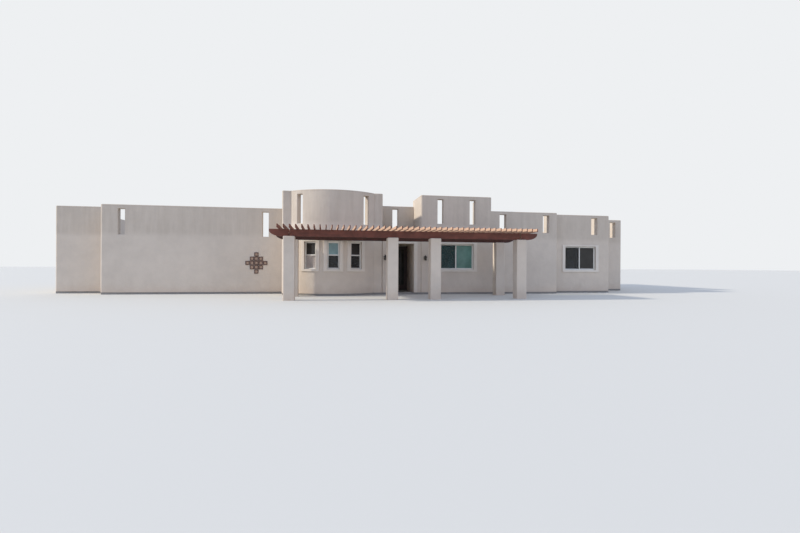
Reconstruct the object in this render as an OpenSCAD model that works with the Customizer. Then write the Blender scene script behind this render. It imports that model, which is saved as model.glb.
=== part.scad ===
/* [Plan widths, left to right] */
// Width of the set-back left end
left_end_w = 2500; // [1500:50:4000]
// Width of the left wing
left_wing_w = 8450; // [6000:50:12000]
// Width of the bow-fronted tower
tower_w = 4860; // [4700:20:6500]
// Width of the hall and its recessed entry
hall_w = 1940; // [1800:20:3000]
// Width of the tall block
block_w = 3730; // [3200:10:5000]
// Width of the low wall beside the tall block
link_w = 3700; // [2600:50:6000]
// Width of the right wing
right_wing_w = 3510; // [3200:10:6000]
// Width of the set-back right end
right_end_w = 2140; // [1500:20:4000]

/* [Plan depths] */
// Depth from the main front plane to the back face
house_d = 12800; // [10000:100:16000]
// Depth of the raised middle part
core_d = 5300; // [4400:50:7000]
// Distance of the left end behind the main front plane
left_end_set = 2300; // [1700:50:3000]
// Distance of the left wing behind the main front plane
left_wing_set = 1200; // [800:50:1500]
// Depth of the entry recess
hall_set = 1800; // [1200:50:2600]
// Distance of the right wing behind the main front plane
right_wing_set = 660; // [400:10:1200]
// Distance of the right end behind the main front plane
right_end_set = 2550; // [1600:50:3200]

/* [Walls] */
// Thickness of every outer wall
wall_t = 300; // [250:10:400]
// Radius of the rounded plaster corners
corner_r = 80; // [30:5:120]
// Height of the low parapets
low_h = 4300; // [4000:20:4600]
// Height of the parapet over the hall
hall_h = 4660; // [4600:20:4900]
// Height of the tower and the tall block
tall_h = 5020; // [4920:20:5400]
// Height of the low walls between the roofs and of the parapet along the back
curb_h = 3500; // [3450:10:3560]
// Height of the low wall in front of the entry
entry_h = 3200; // [2900:20:3600]

/* [Base and roofs] */
// Height of the foundation slab above the ground
slab_h = 100; // [60:5:160]
// Inset of the slab behind the plaster face
slab_in = 25; // [10:5:50]
// Thickness of every roof deck
deck_t = 220; // [150:10:240]
// Top of the low roofs
low_roof_z = 2820; // [2810:5:2850]
// Top of the roof over the hall
hall_roof_z = 3180; // [3160:10:3210]
// Top of the roofs over the tower and the tall block
tall_roof_z = 3380; // [3360:5:3400]

/* [Parapet slots] */
// Width of a tall slot
slot_w = 300; // [200:10:400]
// Height of a tall slot
slot_h = 1240; // [1100:10:1240]
// Height of a slot in the bow of the tower
bow_slot_h = 1400; // [1200:10:1400]
// Wall left above a tall slot
slot_drop = 200; // [120:10:200]
// Width of a slot in the right-hand walls
short_slot_w = 360; // [250:10:450]
// Height of a slot in the right-hand walls
short_slot_h = 920; // [700:10:1100]
// Wall left above a slot in the right-hand walls
short_slot_drop = 160; // [120:10:200]
// Slot centre from the end of a wing
wing_slot_in = 910; // [700:10:1100]
// Slot centre from the edge of the tall block
block_slot_in = 1015; // [700:5:1200]
// Slot centre from the end of the low linking wall
link_slot_in = 640; // [500:10:900]
// Slot centre from the end of the right set-back wall
end_slot_in = 580; // [450:10:800]
// Distance of the hall's slot left of the middle of the hall
hall_slot_shift = 60; // [0:10:200]
// Angle of a bow slot from the middle of the bow
bow_slot_a = 33; // [31.5:0.5:35]

/* [Bow] */
// Width of the bow where it leaves the flat wall
bow_chord = 4000; // [3800:20:4200]
// How far the bow stands out of the flat wall
bow_rise = 800; // [760:10:860]
// Angle between two bow windows, seen from the centre of the bow
bow_win_a = 22; // [20.5:0.5:22.5]

/* [Windows] */
// Width of a bow window
bow_win_w = 580; // [500:10:620]
// Width of a wide window
wide_win_w = 1830; // [1500:10:2200]
// Height of every window
win_h = 1300; // [1100:10:1300]
// Bottom of every window above the ground
win_z = 1260; // [1000:10:1260]
// Width of a window frame's face
frame_w = 50; // [35:1:70]
// Depth of a window frame
frame_d = 90; // [60:5:120]
// Depth from the plaster face to the window frame
win_reveal = 70; // [30:5:110]
// Thickness of a sealed glass unit
glass_t = 20; // [12:1:30]
// Width of the meeting rail and of the middle bar
rail_w = 45; // [30:1:70]
// Width of the raised surround beside an opening
surround_w = 175; // [120:5:180]
// Height of a window's surround above the frame
surround_head = 75; // [40:5:120]
// Height of a window's surround below the frame
surround_foot = 115; // [60:5:180]
// How far a surround stands out of the wall
surround_t = 40; // [20:2:60]
// Distance of an end wall's window from the middle of that wall
end_win_shift = 0; // [-1000:50:1000]

/* [Entry and door] */
// Width of the entry opening
entry_w = 900; // [860:10:1000]
// Distance of the opening right of the middle of the hall
entry_shift = 170; // [100:5:200]
// Top of the entry opening
entry_z = 2550; // [2520:5:2590]
// Top of the doorway
doorway_z = 2500; // [2300:10:2510]
// Width of the door frame's face
jamb_w = 40; // [30:1:60]
// Depth from the hall's face to the door frame
door_reveal = 50; // [20:5:120]
// Height of the threshold
threshold_h = 20; // [12:1:30]
// Width of the stop that the leaf closes on
stop_w = 14; // [10:1:20]
// Depth of the stop
stop_d = 36; // [25:1:45]
// Thickness of the door leaf
leaf_t = 45; // [38:1:55]
// Gap round the door leaf
leaf_gap = 6; // [5:0.5:9]
// Width of the leaf's stiles and top rail
stile_w = 120; // [90:5:160]
// Height of the leaf's bottom rail
bottom_rail_h = 260; // [180:10:350]
// Thickness of the door glass
door_glass_t = 20; // [10:1:28]
// Height of the door handle above the floor
handle_z = 1000; // [900:10:1100]
// Length of the lever handle
handle_l = 120; // [90:5:140]
// Radius of a hinge knuckle
knuckle_r = 9; // [7:0.5:11]
// Radius of a hinge pin
pin_r = 4; // [3:0.5:5]
// Clearance between pin and knuckle
pin_clear = 0.1; // [0.05:0.01:0.1]
// Height of one knuckle
knuckle_h = 48; // [35:1:60]
// Distance of the end hinges from the leaf's ends
hinge_in = 260; // [180:10:350]
// Distance of a lamp from the middle of the opening
lamp_off = 1020; // [900:10:1200]
// Height of the middle of a lamp
lamp_z = 1800; // [1700:10:2000]

/* [Pergola] */
// Side of a square column
col_w = 460; // [380:10:520]
// Height of the columns
col_h = 2610; // [2450:10:2660]
// First column's centre from the left side of the tower
first_col_x = 600; // [400:10:800]
// Left bay between column centres
bay_left = 4250; // [3600:10:4800]
// Narrow bay in front of the entry
bay_entry = 1850; // [1500:10:2200]
// Right bay between column centres
bay_right = 3890; // [3200:10:4600]
// Distance of the front columns from the main front plane
pergola_d = 3270; // [2600:10:4200]
// Gap between the bow and the rear beam fixed to it
bow_gap = 0.3; // [0.3:0.1:2]
// Gap between the rear beam and the surround under it
beam_clear = 5; // [3:1:15]
// Height of a beam
beam_h = 290; // [240:5:340]
// Thickness of a beam
beam_t = 140; // [90:5:200]
// Length of a beam beyond the last column's centre
beam_tail = 800; // [600:10:1000]
// Length of the rounded cut at a beam's end
tail_l = 460; // [300:10:520]
// Height of the square nose above the rounded cut
nose_h = 40; // [20:5:80]
// Gap where the front beam's end pieces meet it
joint_gap = 50; // [20:5:80]
// Number of rafters
rafter_n = 47; // [30:1:50]
// Thickness of a rafter
rafter_t = 45; // [35:1:60]
// Height of a rafter
rafter_h = 140; // [100:5:180]
// Length of rafter in front of the front beam's middle
rafter_over = 880; // [600:10:1100]
// First and last rafter's distance from the beam's ends
rafter_in = 400; // [300:10:520]

/* [Ornament] */
// Side of one square of the stepped cross
tile_w = 200; // [150:5:240]
// Gap between two squares
tile_gap = 14; // [8:1:24]
// Thickness of a square
tile_t = 30; // [15:1:45]
// Cross centre from the tower's side
cross_in = 1340; // [1100:10:1800]
// Height of the cross's centre
cross_z = 1540; // [1200:10:1800]

/* [Hidden] */
$fn = 64;
// Extra length of a cutting tool past what it cuts
over = 50;
plaster = "#d8cbb8";
concrete = "#8f8a84";
timber = "#6b4540";
white_vinyl = "#eeebe4";
dark_glass = "#2c4648";
black_metal = "#26252a";
door_brown = "#3a2622";
roof_grey = "#b4aca0";
// Corner positions along the front, from the left end
x1 = left_end_w;
x2 = x1 + left_wing_w;
x3 = x2 + tower_w;
x4 = x3 + hall_w;
x5 = x4 + block_w;
x6 = x5 + link_w;
x7 = x6 + right_wing_w;
x8 = x7 + right_end_w;
// Bow circle
bow_r = (pow(bow_chord / 2, 2) + pow(bow_rise, 2)) / (2 * bow_rise);
bow_x = (x2 + x3) / 2;
bow_y = bow_r - bow_rise;
bow_half_a = asin(bow_chord / 2 / bow_r);
bow_in_r = bow_r - wall_t;
bow_in_half = floor(bow_in_r * sin(bow_half_a));
bow_windows = [-bow_win_a, 0, bow_win_a];
// Heights that follow the roofs
low_ceiling = low_roof_z - deck_t;
hall_ceiling = hall_roof_z - deck_t;
tall_ceiling = tall_roof_z - deck_t;
surround_bottom = win_z - surround_foot;
surround_top = win_z + win_h + surround_head;
// Entry
entry_x = (x3 + x4) / 2 + entry_shift;
entry_x0 = entry_x - entry_w / 2;
entry_x1 = entry_x + entry_w / 2;
door_y0 = hall_set + door_reveal;
jamb_d = stop_d + leaf_gap + leaf_t;
leaf_y1 = door_y0 + jamb_d;
leaf_x0 = entry_x0 + jamb_w + leaf_gap;
leaf_w = entry_w - 2 * jamb_w - 2 * leaf_gap;
leaf_z0 = slab_h + threshold_h + leaf_gap;
leaf_z1 = doorway_z - jamb_w - leaf_gap;
// Hinge axis, and the thickness of the hinge plates between the knuckles and the faces
hinge_x = leaf_x0 - leaf_gap / 2;
plate_t = 3;
hinge_y = leaf_y1 + plate_t + knuckle_r;
hinge_zs = [leaf_z0 + hinge_in, (leaf_z0 + leaf_z1) / 2, leaf_z1 - hinge_in];
// Pergola
rear_y = -(bow_rise + bow_gap + beam_t / 2);
front_y = -pergola_d;
rafter_y0 = front_y - rafter_over;
rafter_y1 = rear_y + beam_t / 2;
col_1 = x2 + first_col_x;
col_2 = col_1 + bay_left;
col_3 = col_2 + bay_entry;
col_4 = col_3 + bay_right;
beam_x0 = col_1 - beam_tail;
beam_x1 = col_4 + beam_tail;
rafter_x0 = beam_x0 + rafter_in;
rafter_step = (beam_x1 - beam_x0 - 2 * rafter_in) / (rafter_n - 1);
// Wide windows: x, y of the wall's face, and the way that it faces
front_windows = [[(x4 + x5) / 2, 0, 0], [(x6 + x7) / 2, right_wing_set, 0]];
back_windows = [
    [x1 / 2 + x2 / 4, house_d, 180], [x2 - left_wing_w / 4, house_d, 180],
    [x2 + (x5 - x2) / 4, house_d, 180], [x5 - (x5 - x2) / 4, house_d, 180],
    [(x5 + x6) / 2, house_d, 180], [(x6 + x8) / 2 + link_w / 4, house_d, 180]
];
end_windows = [
    [0, (left_end_set + house_d) / 2 + end_win_shift, -90],
    [x8, (right_end_set + house_d) / 2 - end_win_shift, 90]
];
wide_windows = concat(front_windows, back_windows, end_windows);

// The origin is at the middle of the whole footprint, on the ground
module place() {
    translate([-x8 / 2, -(rafter_y0 + house_d + surround_t) / 2, 0]) children();
}

// Box from one corner to the other
module block(x_a, y_a, z_a, x_b, y_b, z_b) {
    translate([x_a, y_a, z_a]) cube([x_b - x_a, y_b - y_a, z_b - z_a]);
}

// Wall panel whose front corners can be rounded, standing from z_a to z_b
module panel(x_a, y_a, x_b, y_b, z_b, left_r = 0, right_r = 0, z_a = slab_h) {
    translate([0, 0, z_a]) linear_extrude(z_b - z_a) union() {
        translate([x_a + left_r, y_a]) square([x_b - x_a - left_r - right_r, y_b - y_a]);
        if (left_r > 0) {
            translate([x_a, y_a + left_r]) square([left_r, y_b - y_a - left_r]);
            translate([x_a + left_r, y_a + left_r]) circle(left_r);
        }
        if (right_r > 0) {
            translate([x_b - right_r, y_a + right_r]) square([right_r, y_b - y_a - right_r]);
            translate([x_b - right_r, y_a + right_r]) circle(right_r);
        }
    }
}

// Panel with its rounded corners at the back
module back_panel(x_a, x_b, left_r = 0, right_r = 0) {
    translate([x_a + x_b, 2 * house_d - wall_t, 0]) rotate(180)
        panel(x_a, house_d - wall_t, x_b, house_d, curb_h, right_r, left_r);
}

// Slot through a wall that faces along Y, its top at z_top
module slot_y(x, y, z_top, w, h) {
    translate([x - w / 2, y - over, z_top - h]) cube([w, wall_t + 2 * over, h]);
}

// Slot through a wall that faces along X
module slot_x(x, y, z_top, w, h) {
    translate([x - over, y - w / 2, z_top - h]) cube([wall_t + 2 * over, w, h]);
}

// Tool for a window opening, seen in a wall that starts at y = 0 and faces -Y
module window_hole(w) {
    translate([-w / 2, -over, win_z]) cube([w, wall_t + 2 * over, win_h]);
}

// Puts its children into one of the wide windows
module at_window(p) {
    translate([p[0], p[1], 0]) rotate(p[2]) children();
}

// Cuts all wide windows
module cut_wide_windows() {
    difference() {
        children();
        for (p = wide_windows) at_window(p) window_hole(wide_win_w);
    }
}

module foundation_slab() {
    i = slab_in;
    outline = [
        [i, left_end_set + i], [x1 + i, left_end_set + i],
        [x1 + i, left_wing_set + i], [x2 + i, left_wing_set + i],
        [x2 + i, i], [x6 - i, i],
        [x6 - i, right_wing_set + i], [x7 - i, right_wing_set + i],
        [x7 - i, right_end_set + i], [x8 - i, right_end_set + i],
        [x8 - i, house_d - i], [i, house_d - i]
    ];
    color(concrete) union() {
        linear_extrude(slab_h) polygon(outline);
        intersection() {
            translate([bow_x, bow_y, 0]) cylinder(h = slab_h, r = bow_r - i);
            block(x2, -bow_rise, 0, x3, wall_t, slab_h);
        }
    }
}

module left_end_front_wall() {
    color(plaster) panel(0, left_end_set, x1, left_end_set + wall_t, low_h, left_r = corner_r);
}

module left_end_side_wall() {
    y_a = left_end_set + wall_t;
    y_b = house_d - wall_t;
    color(plaster) cut_wide_windows() difference() {
        block(0, y_a, slab_h, wall_t, y_b, low_h);
        slot_x(0, y_a + wing_slot_in, low_h - slot_drop, slot_w, slot_h);
        slot_x(0, y_b - wing_slot_in, low_h - slot_drop, slot_w, slot_h);
    }
}

module left_wing_front_wall() {
    y = left_wing_set;
    color(plaster) difference() {
        panel(x1, y, x2, y + wall_t, low_h, left_r = corner_r);
        slot_y(x1 + wing_slot_in, y, low_h - slot_drop, slot_w, slot_h);
        slot_y(x2 - wing_slot_in, y, low_h - slot_drop, slot_w, slot_h);
    }
}

module wing_side_walls() {
    t = wall_t;
    color(plaster) {
        block(x1, left_wing_set + t, slab_h, x1 + t, left_end_set + t, low_h);
        block(x6 - t, t, slab_h, x6, right_wing_set + t, low_h);
        block(x7 - t, right_wing_set + t, slab_h, x7, right_end_set + t, low_h);
    }
}

// Plan of the bow's sector between two angles, right of the middle positive
module bow_sector(a_from, a_to) {
    reach = 2 * bow_r;
    polygon([
        [0, 0],
        [reach * sin(a_from), -reach * cos(a_from)],
        [reach * sin(a_to), -reach * cos(a_to)]
    ]);
}

// Left shoulder's plan, ending where the bow's sector begins
module shoulder_plan() {
    x_a = -tower_w / 2;
    r = corner_r;
    difference() {
        union() {
            translate([x_a + r, 0]) square([-bow_in_half - x_a - r, wall_t]);
            translate([x_a, r]) square([r, wall_t - r]);
            translate([x_a + r, r]) circle(r);
        }
        translate([0, bow_y]) bow_sector(-bow_half_a, 0);
    }
}

module tower_shoulders() {
    color(plaster) translate([bow_x, 0, slab_h]) linear_extrude(tall_h - slab_h) union() {
        shoulder_plan();
        mirror([1, 0]) shoulder_plan();
    }
}

// Part of the bow between two angles
module bow_part(a_from, a_to) {
    difference() {
        translate([bow_x, bow_y, slab_h]) intersection() {
            difference() {
                cylinder(h = tall_h - slab_h, r = bow_r, $fn = 180);
                translate([0, 0, -over]) cylinder(h = tall_h + 2 * over, r = bow_in_r, $fn = 180);
            }
            linear_extrude(tall_h) bow_sector(a_from, a_to);
        }
        for (a = bow_windows) at_bow(a) window_hole(bow_win_w);
        for (a = [-bow_slot_a, bow_slot_a]) at_bow(a)
            slot_y(0, 0, tall_h - slot_drop, slot_w, bow_slot_h);
    }
}

// Puts its children at the bow's face, turned to an angle from its middle
module at_bow(a) {
    translate([bow_x, bow_y, 0]) rotate(a) translate([0, -bow_r, 0]) children();
}

module bow_wall_left() {
    color(plaster) bow_part(-bow_half_a, -bow_win_a / 2);
}

module bow_wall_middle() {
    color(plaster) bow_part(-bow_win_a / 2, bow_win_a / 2);
}

module bow_wall_right() {
    color(plaster) bow_part(bow_win_a / 2, bow_half_a);
}

// Side wall of the raised part: to the floor in front, carried over the rooms behind,
// its top full height beside the front rooms and low between the roofs
module raised_side(x, y_full, z_open) {
    y_step = hall_set + wall_t;
    union() {
        if (y_full > wall_t) block(x, wall_t, slab_h, x + wall_t, y_full, curb_h);
        block(x, max(y_full, wall_t), z_open, x + wall_t, core_d - wall_t, curb_h);
        block(x, wall_t, z_open, x + wall_t, y_step, tall_h);
    }
}

module tower_left_wall() {
    color(plaster) raised_side(x2, left_wing_set + wall_t, low_ceiling);
}

module tower_right_wall() {
    color(plaster) raised_side(x3 - wall_t, hall_set + wall_t, hall_ceiling);
}

module entry_piers() {
    color(plaster) {
        block(x3, 0, slab_h, entry_x0, hall_set, entry_h);
        block(entry_x1, 0, slab_h, x4, hall_set, entry_h);
    }
}

module entry_lintel() {
    color(plaster) block(entry_x0, 0, entry_z, entry_x1, wall_t, entry_h);
}

module porch_roof() {
    color(plaster) block(entry_x0, wall_t, entry_z, entry_x1, hall_set, entry_z + deck_t);
}

module door_side_walls() {
    color(plaster) {
        block(x3, hall_set, slab_h, entry_x0, hall_set + wall_t, doorway_z);
        block(entry_x1, hall_set, slab_h, x4, hall_set + wall_t, doorway_z);
    }
}

module door_wall_over() {
    x = (x3 + x4) / 2 - hall_slot_shift;
    color(plaster) difference() {
        block(x3, hall_set, doorway_z, x4, hall_set + wall_t, hall_h);
        slot_y(x, hall_set, hall_h - short_slot_drop, slot_w, slot_h);
    }
}

module block_front_wall() {
    color(plaster) cut_wide_windows() difference() {
        panel(x4, 0, x5, wall_t, tall_h, left_r = corner_r);
        slot_y(x4 + block_slot_in, 0, tall_h - slot_drop, slot_w, slot_h);
        slot_y(x5 - block_slot_in, 0, tall_h - slot_drop, slot_w, slot_h);
    }
}

module block_left_wall() {
    color(plaster) raised_side(x4, hall_set + wall_t, hall_ceiling);
}

module block_right_wall() {
    color(plaster) raised_side(x5 - wall_t, 0, low_ceiling);
}

module core_back_wall() {
    color(plaster) block(x2, core_d - wall_t, low_ceiling, x5, core_d, curb_h);
}

module link_front_wall() {
    z = low_h - short_slot_drop;
    color(plaster) difference() {
        panel(x5, 0, x6, wall_t, low_h, right_r = corner_r);
        slot_y(x5 + link_slot_in, 0, z, short_slot_w, short_slot_h);
        slot_y(x6 - link_slot_in, 0, z, short_slot_w, short_slot_h);
    }
}

module right_wing_front_wall() {
    y = right_wing_set;
    color(plaster) cut_wide_windows() difference() {
        panel(x6, y, x7, y + wall_t, low_h, right_r = corner_r);
        slot_y(x7 - wing_slot_in, y, low_h - short_slot_drop, short_slot_w, short_slot_h);
    }
}

module right_end_front_wall() {
    y = right_end_set;
    color(plaster) difference() {
        panel(x7, y, x8, y + wall_t, low_h, right_r = corner_r);
        slot_y(x8 - end_slot_in, y, low_h - short_slot_drop, short_slot_w, short_slot_h);
    }
}

module right_end_side_wall() {
    y_a = right_end_set + wall_t;
    y_b = house_d - wall_t;
    z = low_h - short_slot_drop;
    color(plaster) cut_wide_windows() difference() {
        block(x8 - wall_t, y_a, slab_h, x8, y_b, low_h);
        slot_x(x8 - wall_t, y_a + wing_slot_in, z, short_slot_w, short_slot_h);
        slot_x(x8 - wall_t, y_b - wing_slot_in, z, short_slot_w, short_slot_h);
    }
}

// Stretch of the back wall
module back_wall(x_a, x_b, left_r = 0, right_r = 0) {
    color(plaster) cut_wide_windows() back_panel(x_a, x_b, left_r, right_r);
}

module back_wall_left() {
    back_wall(0, x2, left_r = corner_r);
}

module back_wall_middle() {
    back_wall(x2, x5);
}

module back_wall_right() {
    back_wall(x5, x8, right_r = corner_r);
}

// Roof deck of a plan, its top at z_top
module deck(points, z_top) {
    translate([0, 0, z_top - deck_t]) linear_extrude(deck_t) polygon(points);
}

module low_roof_left() {
    t = wall_t;
    color(roof_grey) deck([
        [t, left_end_set + t], [x1 + t, left_end_set + t],
        [x1 + t, left_wing_set + t], [x2, left_wing_set + t],
        [x2, house_d - t], [t, house_d - t]
    ], low_roof_z);
}

module low_roof_back() {
    color(roof_grey) block(x2, core_d, low_ceiling, x5, house_d - wall_t, low_roof_z);
}

module low_roof_right() {
    t = wall_t;
    color(roof_grey) deck([
        [x5, t], [x6 - t, t],
        [x6 - t, right_wing_set + t], [x7 - t, right_wing_set + t],
        [x7 - t, right_end_set + t], [x8 - t, right_end_set + t],
        [x8 - t, house_d - t], [x5, house_d - t]
    ], low_roof_z);
}

module tall_roofs() {
    t = wall_t;
    color(roof_grey) {
        union() {
            block(x2 + t, t, tall_ceiling, x3 - t, core_d - t, tall_roof_z);
            intersection() {
                translate([bow_x, bow_y, tall_ceiling]) cylinder(h = deck_t, r = bow_in_r, $fn = 180);
                block(bow_x - bow_in_half, -bow_rise, tall_ceiling, bow_x + bow_in_half, t, tall_roof_z);
            }
        }
        block(x4 + t, t, tall_ceiling, x5 - t, core_d - t, tall_roof_z);
    }
}

module hall_roof() {
    y = hall_set + wall_t;
    color(roof_grey) block(x3, y, hall_ceiling, x4, core_d - wall_t, hall_roof_z);
}

// Square plaster column with its centre at x, y
module column(x, y) {
    translate([x - col_w / 2, y - col_w / 2, 0]) cube([col_w, col_w, col_h]);
}

module front_columns() {
    color(plaster) for (x = [col_1, col_2, col_3, col_4]) column(x, front_y);
}

module rear_columns() {
    color(plaster) for (x = [col_1, col_4]) column(x, rear_y);
}

// Side view of a beam from 0 to l, with rounded cuts under its ends
module beam_side(l, cut_left = true, cut_right = true) {
    steps = 10;
    function cut(i) = let (a = 90 * i / steps)
        [tail_l * (1 - sin(a)), (beam_h - nose_h) * (1 - cos(a))];
    left = cut_left ? [for (i = [0:steps]) cut(i)] : [[0, 0]];
    right = cut_right ? [for (i = [steps:-1:0]) [l - cut(i)[0], cut(i)[1]]] : [[l, 0]];
    polygon(concat([[0, beam_h]], [for (i = [len(left) - 1:-1:0]) left[i]],
        [for (i = [len(right) - 1:-1:0]) right[i]], [[l, beam_h]]));
}

// Beam from x_a to x_b on the columns' line y
module beam(x_a, x_b, y, cut_left = true, cut_right = true) {
    translate([x_a, y + beam_t / 2, col_h]) rotate([90, 0, 0])
        linear_extrude(beam_t) beam_side(x_b - x_a, cut_left, cut_right);
}

module front_beam() {
    color(timber) {
        beam(beam_x0, col_1 - joint_gap / 2, front_y, cut_right = false);
        beam(col_1 + joint_gap / 2, col_4 - joint_gap / 2, front_y, false, false);
        beam(col_4 + joint_gap / 2, beam_x1, front_y, cut_left = false);
    }
}

module rear_beam() {
    color(timber) beam(beam_x0, beam_x1, rear_y);
}

module rafters() {
    z = col_h + beam_h;
    color(timber) for (i = [0:rafter_n - 1])
        translate([rafter_x0 + i * rafter_step - rafter_t / 2, rafter_y0, z])
            cube([rafter_t, rafter_y1 - rafter_y0, rafter_h]);
}

// Front of a surround round an opening of width w, from z_a to z_b
module surround_face(w, z_a, z_b, hole_a, hole_b) {
    difference() {
        translate([-w / 2 - surround_w, z_a]) square([w + 2 * surround_w, z_b - z_a]);
        translate([-w / 2, hole_a]) square([w, hole_b - hole_a]);
    }
}

// Stands a front view up in the wall's face, y_a to y_b
module stand(y_a, y_b) {
    translate([0, y_b, 0]) rotate([90, 0, 0]) linear_extrude(y_b - y_a) children();
}

// Surround of a bow window, bent to the bow and stopped short of the rear beam
module bow_surround(a) {
    y_beam = rear_y + beam_t / 2 + beam_clear;
    difference() {
        intersection() {
            at_bow(a) stand(-surround_t, bow_rise)
                surround_face(bow_win_w, surround_bottom, surround_top, win_z, win_z + win_h);
            translate([bow_x, bow_y, 0]) difference() {
                cylinder(h = tall_h, r = bow_r + surround_t, $fn = 180);
                translate([0, 0, -over]) cylinder(h = tall_h + 2 * over, r = bow_r, $fn = 180);
            }
        }
        block(x2, front_y, col_h - beam_clear, x3, y_beam, tall_h);
    }
}

module surrounds() {
    color(plaster) {
        for (a = bow_windows) bow_surround(a);
        for (p = wide_windows) at_window(p) stand(-surround_t, 0)
            surround_face(wide_win_w, surround_bottom, surround_top, win_z, win_z + win_h);
        translate([entry_x, 0, 0]) stand(-surround_t, 0)
            surround_face(entry_w, slab_h, entry_z + surround_w, slab_h - over, entry_z);
    }
}

// Outer frame of a window of width w with its bar: a rail across or a bar up the middle
module window_frame(w, bar_up) {
    y = win_reveal;
    difference() {
        translate([-w / 2, y, win_z]) cube([w, frame_d, win_h]);
        translate([-w / 2 + frame_w, y - over, win_z + frame_w])
            cube([w - 2 * frame_w, frame_d + 2 * over, win_h - 2 * frame_w]);
    }
    if (bar_up)
        translate([-rail_w / 2, y, win_z + frame_w]) cube([rail_w, frame_d, win_h - 2 * frame_w]);
    else
        translate([-w / 2 + frame_w, y, win_z + win_h / 2])
            cube([w - 2 * frame_w, frame_d, rail_w]);
}

// The two panes between the frame and its bar
module window_panes(w, bar_up) {
    y = win_reveal + (frame_d - glass_t) / 2;
    w_in = w - 2 * frame_w;
    h_in = win_h - 2 * frame_w;
    if (bar_up) {
        pane_w = (w_in - rail_w) / 2;
        for (x = [-w_in / 2, rail_w / 2])
            translate([x, y, win_z + frame_w]) cube([pane_w, glass_t, h_in]);
    } else {
        low_h_in = win_h / 2 - frame_w;
        translate([-w_in / 2, y, win_z + frame_w]) cube([w_in, glass_t, low_h_in]);
        translate([-w_in / 2, y, win_z + win_h / 2 + rail_w])
            cube([w_in, glass_t, h_in - low_h_in - rail_w]);
    }
}

module window_frames() {
    color(white_vinyl) {
        for (a = bow_windows) at_bow(a) window_frame(bow_win_w, false);
        for (p = wide_windows) at_window(p) window_frame(wide_win_w, true);
    }
}

module window_glass() {
    color(dark_glass) {
        for (a = bow_windows) at_bow(a) window_panes(bow_win_w, false);
        for (p = wide_windows) at_window(p) window_panes(wide_win_w, true);
    }
}

module door_frame() {
    y = door_y0;
    z_t = slab_h + threshold_h;
    color(door_brown) union() {
        block(entry_x0, y, slab_h, entry_x0 + jamb_w, y + jamb_d, doorway_z);
        block(entry_x1 - jamb_w, y, slab_h, entry_x1, y + jamb_d, doorway_z);
        block(entry_x0, y, doorway_z - jamb_w, entry_x1, y + jamb_d, doorway_z);
        block(entry_x0, y, slab_h, entry_x1, y + jamb_d, z_t);
        block(entry_x0, y, z_t, entry_x0 + jamb_w + stop_w, y + stop_d, doorway_z);
        block(entry_x1 - jamb_w - stop_w, y, z_t, entry_x1, y + stop_d, doorway_z);
        block(entry_x0, y, doorway_z - jamb_w - stop_w, entry_x1, y + stop_d, doorway_z);
    }
}

module door_leaf() {
    y0 = leaf_y1 - leaf_t;
    color(door_brown) difference() {
        block(leaf_x0, y0, leaf_z0, leaf_x0 + leaf_w, leaf_y1, leaf_z1);
        block(leaf_x0 + stile_w, y0 - over, leaf_z0 + bottom_rail_h,
            leaf_x0 + leaf_w - stile_w, leaf_y1 + over, leaf_z1 - stile_w);
    }
}

module door_glass() {
    y = leaf_y1 - (leaf_t + door_glass_t) / 2;
    color(dark_glass) block(leaf_x0 + stile_w, y, leaf_z0 + bottom_rail_h,
        leaf_x0 + leaf_w - stile_w, y + door_glass_t, leaf_z1 - stile_w);
}

// Frame's half of a hinge: plate, lower knuckle and the pin that stands up from it
module pin_half() {
    plate_w = jamb_w - leaf_gap;
    translate([-leaf_gap / 2 - plate_w, -plate_t - knuckle_r, -knuckle_h])
        cube([plate_w, plate_t, knuckle_h]);
    translate([-leaf_gap / 2 - knuckle_r, -plate_t - knuckle_r, -knuckle_h])
        cube([leaf_gap / 2 + knuckle_r, plate_t + knuckle_r, knuckle_h]);
    translate([0, 0, -knuckle_h]) cylinder(h = knuckle_h, r = knuckle_r);
    cylinder(h = knuckle_h, r = pin_r);
}

// Leaf's half of a hinge: plate and the knuckle that turns on the pin
module knuckle_half() {
    seat = 0.3;
    difference() {
        union() {
            translate([leaf_gap / 2, -plate_t - knuckle_r, seat])
                cube([jamb_w - leaf_gap, plate_t, knuckle_h]);
            translate([0, -plate_t - knuckle_r, seat])
                cube([leaf_gap / 2 + knuckle_r, plate_t + knuckle_r, knuckle_h]);
            translate([0, 0, seat]) cylinder(h = knuckle_h, r = knuckle_r);
        }
        translate([0, 0, -over]) cylinder(h = knuckle_h + 2 * over, r = pin_r + pin_clear);
    }
}

module hinge_pins() {
    color(black_metal) for (z = hinge_zs) translate([hinge_x, hinge_y, z]) pin_half();
}

// Rose, neck and lever of one handle, on a face at y = 0 that looks along -Y
module lever() {
    rose_r = 26;
    rose_t = 10;
    rod_r = 9;
    neck_l = 45;
    rotate([90, 0, 0]) cylinder(h = rose_t, r = rose_r);
    rotate([90, 0, 0]) cylinder(h = neck_l, r = rod_r);
    translate([-handle_l, -neck_l, -rod_r]) cube([handle_l + rod_r, 2 * rod_r, 2 * rod_r]);
}

module door_furniture() {
    x = leaf_x0 + leaf_w - stile_w / 2;
    z = slab_h + handle_z;
    color(black_metal) {
        translate([x, leaf_y1 - leaf_t, z]) lever();
        translate([x, leaf_y1, z]) mirror([0, 1, 0]) lever();
        for (z_h = hinge_zs) translate([hinge_x, hinge_y, z_h]) knuckle_half();
    }
}

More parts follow.
